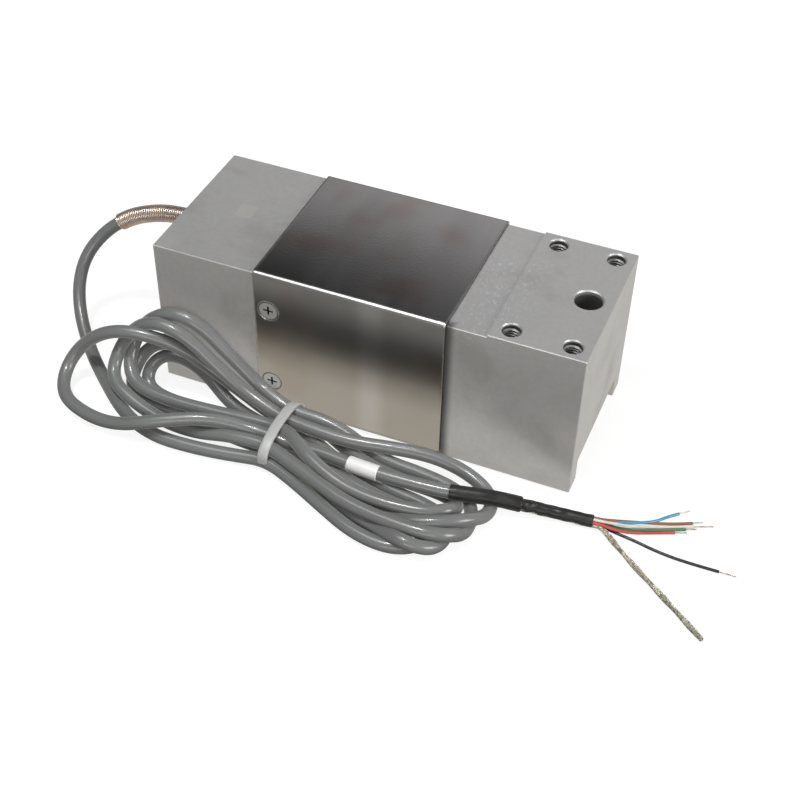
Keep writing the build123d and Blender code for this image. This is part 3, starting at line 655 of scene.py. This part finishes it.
def mix(tree, mask, first, second, amount=1.0):
    """The second colour over the first, where the mask says and this strongly."""
    mask = add(tree, "Math", {"operation": "MULTIPLY"}, i0=mask, i1=amount).outputs[0]
    return add(tree, "Mix", {"data_type": "RGBA"}, i0=mask, i6=first, i7=second).outputs[2]


def surface(name, base, worn, metal, rough, amount=0.5, stretch=(1, 1, 1), scale=60,
            grain=(1, 1, 1), grain_scale=900, bump=0.05, rough_worn=None, extra=None, fold=0.0):
    """Base and worn colours mixed by patches, a fine grain, and edges rounded by the fold."""
    material = bpy.data.materials.new(name)
    material.use_nodes = True
    tree = material.node_tree
    shader = tree.nodes["Principled BSDF"]
    patch = use(tree, PATCHES, Stretch=stretch, Scale=scale, Low=0.45, High=0.65)
    fine = use(tree, PATCHES, Stretch=grain, Scale=grain_scale, Detail=6.0, Low=0.3, High=0.7)
    colour = mix(tree, patch, grey(base), grey(worn), amount)
    if extra:
        colour = extra(tree, colour)
    tree.links.new(colour, shader.inputs["Base Color"])
    shader.inputs["Metallic"].default_value = metal
    most = rough if rough_worn is None else rough_worn
    ranged = add(tree, "MapRange", Value=patch, To_Min=rough, To_Max=most)
    tree.links.new(ranged.outputs[0], shader.inputs["Roughness"])
    normal = add(tree, "Bump", Strength=bump, Distance=GRAIN_DEPTH, Height=fine)
    if fold:
        rounded = add(tree, "Bevel", {"samples": 6}, Radius=fold).outputs[0]
        tree.links.new(rounded, normal.inputs["Normal"])
    tree.links.new(normal.outputs[0], shader.inputs["Normal"])
    return material


print("material helper is ready")
# %% [markdown]
# ## Marks and painted shade on the beam
# Bare aluminium that was handled is mottled and stained, is scuffed beside the cover, and has a
# paler square on top. Its holes get painted shade, and a dark band along the cover's edge is
# painted shade and reflection of that edge. Painted pictures would do it too, but masks with
# places in metres stay sharp at any size.
# %% Marks and painted shade on the beam
def body_marks_and_shade(tree, colour):
    """Stains, scuffs and the paler square, and then the painted shade in the holes and beside the cover."""
    mottle = use(tree, PATCHES, Stretch=(1, 1, 1), Scale=420.0, Detail=8.0, Low=0.35, High=0.7)
    colour = mix(tree, mottle, colour, grey(186), 0.25)
    stain = use(tree, PATCHES, Stretch=(1, 1.4, 1), Scale=34.0, Low=0.54, High=0.74)
    colour = mix(tree, stain, colour, grey((150, 146, 140)), 0.28)
    scuff = use(tree, PATCHES, Stretch=(1, 0.45, 1), Scale=900.0, Detail=9.0, Low=0.54, High=0.68)
    worn = use(tree, ZONE, Centre=(0.05, -0.012, 0.073), Half=(0.006, 0.022, 0.001), Soft=0.014)
    scuff = add(tree, "Math", {"operation": "MULTIPLY"}, i0=scuff, i1=worn).outputs[0]
    colour = mix(tree, scuff, colour, grey((236, 240, 250)), 0.45)
    residue = use(tree, ZONE, Centre=(-0.0705, 0.0002, 0.0725), Turn=(0, 0, 0.06),
                  Half=(0.0036, 0.0043, 0.0008), Soft=0.0004)
    colour = mix(tree, residue, colour, grey((228, 226, 216)), 0.34)
    return body_painted_shade(tree, colour)


def body_painted_shade(tree, colour):
    """Painted shade and reflection as a dark band beside the cover, and painted shade in the plain hole and
    the bolt holes.
    """
    # painted shade and reflection of the cover's edge: a dark band on the beam's front beside it
    beside = use(tree, ZONE, Centre=(0.0374, -0.0375, 0.036), Half=(0.0004, 0.001, 0.036), Soft=0.0042)
    colour = mix(tree, beside, colour, grey(60), 0.8)
    # painted shade in the plain hole
    bore = use(tree, ZONE, Centre=(0.0848, 0, 0.045), Half=(0.0062, 0.0062, 0.0262), Soft=0.0006)
    colour = mix(tree, bore, colour, grey(96), 0.8)
    # painted shade in the bolt holes
    for x in BOLT_X:
        for y in (-BOLT_Y, BOLT_Y):
            hole = use(tree, ZONE, Centre=(x * MM, y * MM, 0.06), Half=(0.0042, 0.0042, 0.0122), Soft=0.0004)
            colour = mix(tree, hole, colour, grey(70), 0.85)
    return colour


print("marks on the beam are ready")
# %% [markdown]
# ## Painted reflections on the cover and painted shade on the screws
# The cover is rolled steel. Brownish blurs on it are painted reflections, and so are its paler,
# warmer lower front and a pale streak there. The screws sit in their seats with a painted dark
# rim of shade, and painted shade fills the cross. Both screws of a side are found from one, by
# folding the place about the middle in x and about their mean height.
# %% Painted reflections on the cover and painted shade on the screws
SCREW_X = 0.0415
SCREW_MEAN_Z = 0.0355
SCREW_SPREAD = 0.0197


def cover_painted_reflections(tree, colour):
    """Painted reflections: brownish blurs, a paler and warmer lower front, and a pale streak on it."""
    # painted reflection: brownish blurs over the whole cover
    blur = use(tree, PATCHES, Stretch=(1, 1, 1), Scale=44.0, Detail=1.0, Low=0.5, High=0.76)
    colour = mix(tree, blur, colour, grey((160, 130, 116)), 0.32)
    # painted reflection of the floor: the lower front paler and warmer
    tan = use(tree, ZONE, Centre=(-0.005, -0.039, 0.02), Half=(0.05, 0.003, 0.024), Soft=0.012)
    colour = mix(tree, tan, colour, grey((205, 196, 180)), 0.5)
    # painted reflection: a pale upright streak on the front
    streak = use(tree, ZONE, Centre=(0.005, -0.039, 0.03), Half=(0.001, 0.003, 0.04), Soft=0.008)
    return mix(tree, streak, colour, grey(235), 0.35)


def screw_painted_shade(tree, colour):
    """Painted shade at the rim of each head and in its cross."""
    place = add(tree, "TexCoord").outputs["Object"]
    place = add(tree, "VectorMath", {"operation": "ABSOLUTE"}, i0=place).outputs[0]
    parts = add(tree, "SeparateXYZ", i0=place).outputs
    across = add(tree, "Math", {"operation": "SUBTRACT"}, i0=parts[0], i1=SCREW_X).outputs[0]
    over = add(tree, "Math", {"operation": "SUBTRACT"}, i0=parts[2], i1=SCREW_MEAN_Z).outputs[0]
    over = add(tree, "Math", {"operation": "ABSOLUTE"}, i0=over).outputs[0]
    over = add(tree, "Math", {"operation": "SUBTRACT"}, i0=over, i1=SCREW_SPREAD).outputs[0]
    spot = add(tree, "CombineXYZ", i0=across, i1=over, i2=0.0).outputs[0]
    far = add(tree, "VectorMath", {"operation": "LENGTH"}, i0=spot).outputs[1]
    rim = add(tree, "MapRange", Value=far, From_Min=0.0039, From_Max=0.0045).outputs[0]
    deep = add(tree, "MapRange", Value=parts[1], From_Min=0.0387, From_Max=0.0383).outputs[0]
    # painted shade at the rim of each head
    colour = mix(tree, rim, colour, grey(66), 0.9)
    # painted shade in the cross
    return mix(tree, deep, colour, grey(40), 0.95)


print("marks on the cover and screws are ready")
# %% [markdown]
# ## Metals and inside pieces
# The beam is milled aluminium, a little rough; the cover is rolled sheet, smoother, with
# a grain along its length and a soft fold. The spring and tips are clean, the braid dull.
# What lies under the cover gets plain, true colours, since it may be opened.
# %% Metals and inside pieces
MATERIALS = {
    "body": surface("machined_aluminium", 206, 196, 0.75, 0.33, 0.4, (1, 0.6, 1), 45, grain=(0.3, 1, 1),
                    grain_scale=900, bump=0.08, rough_worn=0.4, extra=body_marks_and_shade),
    "cover": surface("rolled_steel_sheet", 180, 166, 1.0, 0.14, 0.4, (1, 0.3, 1), 30, grain=(1, 1, 0.03),
                     grain_scale=900, bump=0.02, rough_worn=0.18, extra=cover_painted_reflections, fold=0.0014),
    # painted shade: the threads are the beam's own aluminium, darker than the beam
    "shaded_thread": surface("shaded_thread", 138, 84, 0.7, 0.5, 0.6, scale=400, rough_worn=0.6),
    "gasket": surface("gasket_rubber", 38, 30, 0.0, 0.7),
    "screw": surface("screw_steel", 206, 176, 0.85, 0.4, 0.3, rough_worn=0.46, scale=200, extra=screw_painted_shade),
    "gauge": surface("gauge_foil", (196, 150, 84), (160, 116, 60), 0.1, 0.4, scale=300),
    "board": surface("board_laminate", (44, 96, 62), (36, 80, 52), 0.0, 0.45, scale=200),
    "resistor": surface("resistor_body", 40, 60, 0.0, 0.5, scale=400),
    "terminal": surface("terminal_laminate", (214, 188, 120), (180, 150, 90), 0.0, 0.4, scale=300),
    "lead_sleeve": surface("lead_sleeving", (206, 196, 170), (180, 168, 140), 0.0, 0.5),
    "core": surface("core_insulation", (60, 90, 160), (150, 60, 50), 0.0, 0.4, 1.0, scale=150),
    "potting": surface("potting_silicone", (218, 214, 204), (196, 190, 178), 0.0, 0.35),
    "bush": surface("bush_rubber", 34, 46, 0.0, 0.6, scale=220),
    "spring": surface("spring_wire", (226, 212, 200), (206, 186, 172), 1.0, 0.24, 0.4, scale=120,
                      rough_worn=0.38),
    "braid": surface("tinned_braid", (204, 200, 184), (120, 114, 96), 0.8, 0.4, 0.8, scale=700,
                     rough_worn=0.5),
    "tinned": surface("tinned_tip", (214, 206, 196), (170, 150, 130), 1.0, 0.28, 0.5, scale=600),
}
print("metals and inside pieces:", len(MATERIALS))
# %% [markdown]
# ## Plastics
# The jacket is smooth grey plastic with a long soft shine, the tie is milky nylon, and the
# shrunk sleeves are black and uneven in shine. The wires' colours are faded, with a darker
# tone of each in patches.
# %% Plastics
MATERIALS["cable_jacket"] = surface("cable_jacket_grey", (108, 110, 110), (99, 100, 99), 0.0, 0.2, 0.4,
                                    scale=30, grain_scale=420, bump=0.06, rough_worn=0.22)
MATERIALS["tie"] = surface("tie_nylon", (164, 166, 165), (156, 157, 154), 0.0, 0.34, 0.4, scale=60)
MATERIALS["marker"] = surface("marker_white", 216, 206, 0.0, 0.45, 0.4, scale=120)
MATERIALS["black_sleeve"] = surface("shrink_black", 20, 28, 0.0, 0.36, 0.5, scale=150, grain_scale=600,
                                    bump=0.15, rough_worn=0.55)
FADED = 0.82
WIRE_COLOURS = {
    "blue": (62, 142, 176), "brown": (132, 92, 78), "white": (206, 198, 186), "red": (188, 74, 70),
    "black": (28, 28, 31), "green": (78, 124, 92),
}
for colour, value in WIRE_COLOURS.items():
    darker = tuple(v * FADED for v in value)
    MATERIALS[colour + "_wire"] = surface("wire_" + colour, value, darker, 0.0, 0.3, 0.4, scale=120,
                                          grain_scale=700, bump=0.03)
print("materials:", len(MATERIALS))
# %% [markdown]
# ## Dressing the pieces
# Each CAD node gets the material of its own name or of the start of its name. Milled and
# folded edges are never knife sharp, so the beam, cover and bush get a small bevel that the
# light can catch. The CAD meshes themselves stay untouched under the modifier.
# %% Dress
EDGE_WIDTH = 0.00025
NODE_SLOTS = {
    "load_cell_body": "body", "middle_cover": "cover", "cover_gasket": "gasket",
    "compensation_board": "board", "trim_resistors": "resistor", "solder_terminals": "terminal",
    "bottom_gauge_leads": "lead_sleeve", "cable_cores": "core", "cable_bush": "bush",
    "cable_inner_length": "cable_jacket",
}
STARTS = (
    ("strain_gauge", "gauge"), ("cover_screws", "screw"), ("top_potting", "potting"),
    ("bottom_potting", "potting"),
)
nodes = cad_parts


def dress(piece, name):
    piece.data.materials.clear()
    piece.data.materials.append(MATERIALS[name])


for name, piece in nodes.items():
    slot = NODE_SLOTS.get(name) or next((s for start, s in STARTS if name.startswith(start)), None)
    if slot:
        dress(piece, slot)
    elif not piece.hide_render:
        print("no material for", name)
for piece, name in SLOTS:
    dress(piece, name)
for piece in threads:
    dress(piece, "shaded_thread")
for name in ("load_cell_body", "middle_cover", "cable_bush"):
    edge = nodes[name].modifiers.new("worn_edge", "BEVEL")
    edge.width, edge.segments, edge.limit_method, edge.angle_limit = EDGE_WIDTH, 2, "ANGLE", 0.6
    edge.harden_normals = True
print("body matrix is plain:", nodes["load_cell_body"].matrix_world == Matrix())
# %% [markdown]
# ## The room
# White to the camera, as in a catalogue picture. A darker room gives the metal something to
# show: it is brighter towards the right and the front. Brighter lamps would bleach the metal
# instead, so the white comes from what the camera alone sees.
# %% World
world = bpy.data.worlds.new("room")
bpy.context.scene.world = world
world.use_nodes = True
tree = world.node_tree
tree.nodes.clear()
parts = add(tree, "SeparateXYZ", i0=add(tree, "TexCoord").outputs["Generated"]).outputs
side = add(tree, "MapRange", Value=parts[0], From_Min=-0.75, From_Max=0.35, To_Min=0.08, To_Max=0.34)
front = add(tree, "MapRange", Value=parts[1], From_Min=0.25, From_Max=-0.4, To_Min=0.0, To_Max=0.16)
level = add(tree, "Math", {"operation": "ADD"}, i0=side.outputs[0], i1=front.outputs[0]).outputs[0]
room = add(tree, "Background", Color=(1, 0.99, 0.97, 1), Strength=level).outputs[0]
white = add(tree, "Background", Color=(1, 1, 1, 1), Strength=1.0).outputs[0]
seen = add(tree, "LightPath").outputs["Is Camera Ray"]
both = add(tree, "MixShader", i0=seen, i1=room, i2=white).outputs[0]
tree.links.new(both, add(tree, "OutputWorld").inputs["Surface"])
print("world set")
# %% [markdown]
# ## The floor
# A sheet of paper under the object. The camera sees it nearly white with a faint shadow.
# The steel sees soft bands on it, pale next to the object and dark further to the front,
# and everything else sees plain paper that throws some light back.
# %% Floor
FLOOR_REACH = 0.25
BANDS = (  # distance to the front as a share of the reach, and level
    (0.18, 0.62), (0.25, 0.6), (0.304, 0.36), (0.328, 0.15), (0.36, 0.06), (0.404, 0.08),
    (0.436, 0.18), (0.472, 0.36), (0.6, 0.3), (1.0, 0.3),
)
bpy.ops.mesh.primitive_plane_add(size=4, location=(0, 0, -0.0003))
floor = bpy.context.object
floor.name = "floor"
paper = bpy.data.materials.new("paper")
paper.use_nodes = True
tree = paper.node_tree
shader = tree.nodes["Principled BSDF"]
shader.inputs["Base Color"].default_value = (0.42, 0.42, 0.41, 1)
shader.inputs["Roughness"].default_value = 0.9
away = add(tree, "SeparateXYZ", i0=add(tree, "TexCoord").outputs["Object"]).outputs[1]
away = add(tree, "MapRange", Value=away, From_Min=0.0, From_Max=-FLOOR_REACH).outputs[0]
bands = add(tree, "ValToRGB", Fac=away)
while len(bands.color_ramp.elements) < len(BANDS):
    bands.color_ramp.elements.new(0.5)
for stop, (share, level) in zip(bands.color_ramp.elements, BANDS):
    stop.position = share
    stop.color = (level, level * 0.96, level * 0.9, 1)
mirrored = add(tree, "Emission", Color=bands.outputs[0], Strength=1.0).outputs[0]
plain = add(tree, "Emission", Color=(1, 1, 1, 1), Strength=0.86).outputs[0]
shaded = add(tree, "BsdfDiffuse", Color=(0.2, 0.2, 0.2, 1)).outputs[0]
plain = add(tree, "AddShader", i0=plain, i1=shaded).outputs[0]
rays = add(tree, "LightPath").outputs
both = add(tree, "MixShader", i0=rays["Is Glossy Ray"], i1=shader.outputs[0], i2=mirrored).outputs[0]
both = add(tree, "MixShader", i0=rays["Is Camera Ray"], i1=both, i2=plain).outputs[0]
tree.links.new(both, tree.nodes["Material Output"].inputs["Surface"])
floor.data.materials.append(paper)
print("floor set")
# %% [markdown]
# ## The card
# A card above and behind the object is what the cover's top mirrors: dark above, bright
# along its lower edge, and a little brighter to the right. Photographers set such cards round
# shiny things. Only shiny surfaces see it, so it lights nothing.
# %% Card above and behind
bpy.ops.mesh.primitive_plane_add(size=1, location=(-0.265, 0.6, 0.56), rotation=(math.pi / 2, 0, 0))
card = bpy.context.object
card.name, card.scale = "card", (0.9, 0.5, 1)
glow = bpy.data.materials.new("card_glow")
glow.use_nodes = True
tree = glow.node_tree
SMOOTH = {"interpolation_type": "SMOOTHSTEP"}
parts = add(tree, "SeparateXYZ", i0=add(tree, "NewGeometry").outputs["Position"]).outputs
low = add(tree, "MapRange", SMOOTH, Value=parts[2], From_Min=0.61, From_Max=0.5, To_Max=0.5).outputs[0]
side = add(tree, "MapRange", SMOOTH, Value=parts[0], From_Min=-0.3, From_Max=-0.1, To_Max=0.1).outputs[0]
level = add(tree, "Math", {"operation": "ADD"}, i0=low, i1=side).outputs[0]
level = add(tree, "Math", {"operation": "ADD"}, i0=level, i1=0.012).outputs[0]
shine = add(tree, "Emission", Color=(1, 0.97, 0.97, 1), Strength=level).outputs[0]
tree.links.new(shine, tree.nodes["Material Output"].inputs["Surface"])
card.data.materials.append(glow)
card.visible_camera = card.visible_diffuse = card.visible_shadow = card.visible_transmission = False
print("card set")
# %% [markdown]
# ## The lamps
# A broad lamp overhead gives the tops their level, a small one beside it the thin shine on
# the cable and the fold, one at the right lights the end face, and a weak one in front lifts
# the front. They are kept low enough for a colour to come out about as it is written.
# %% Lamps
def lamp(name, place, target, power, wide, high, colour=(1, 1, 1)):
    data = bpy.data.lights.new(name, "AREA")
    data.shape, data.size, data.size_y, data.energy, data.color = "RECTANGLE", wide, high, power, colour
    piece = bpy.data.objects.new(name, data)
    piece.location = place
    piece.rotation_euler = (Vector(target) - Vector(place)).to_track_quat("-Z", "Y").to_euler()
    bpy.context.scene.collection.objects.link(piece)


lamp("overhead", (-0.3, -0.3, 1.1), (0, 0, 0), 4.4, 0.7, 0.5)
lamp("highlight", (-0.1, -0.2, 1.0), (0, 0, 0), 3.8, 0.09, 0.05)
lamp("right_fill", (1.1, -0.2, 0.5), (0, 0, 0.03), 8.5, 0.6, 0.5, (1, 0.99, 0.97))
lamp("front_fill", (0.2, -1.2, 0.35), (0, 0, 0.03), 2.8, 0.8, 0.3, (1, 0.97, 0.93))
print("lamps set")
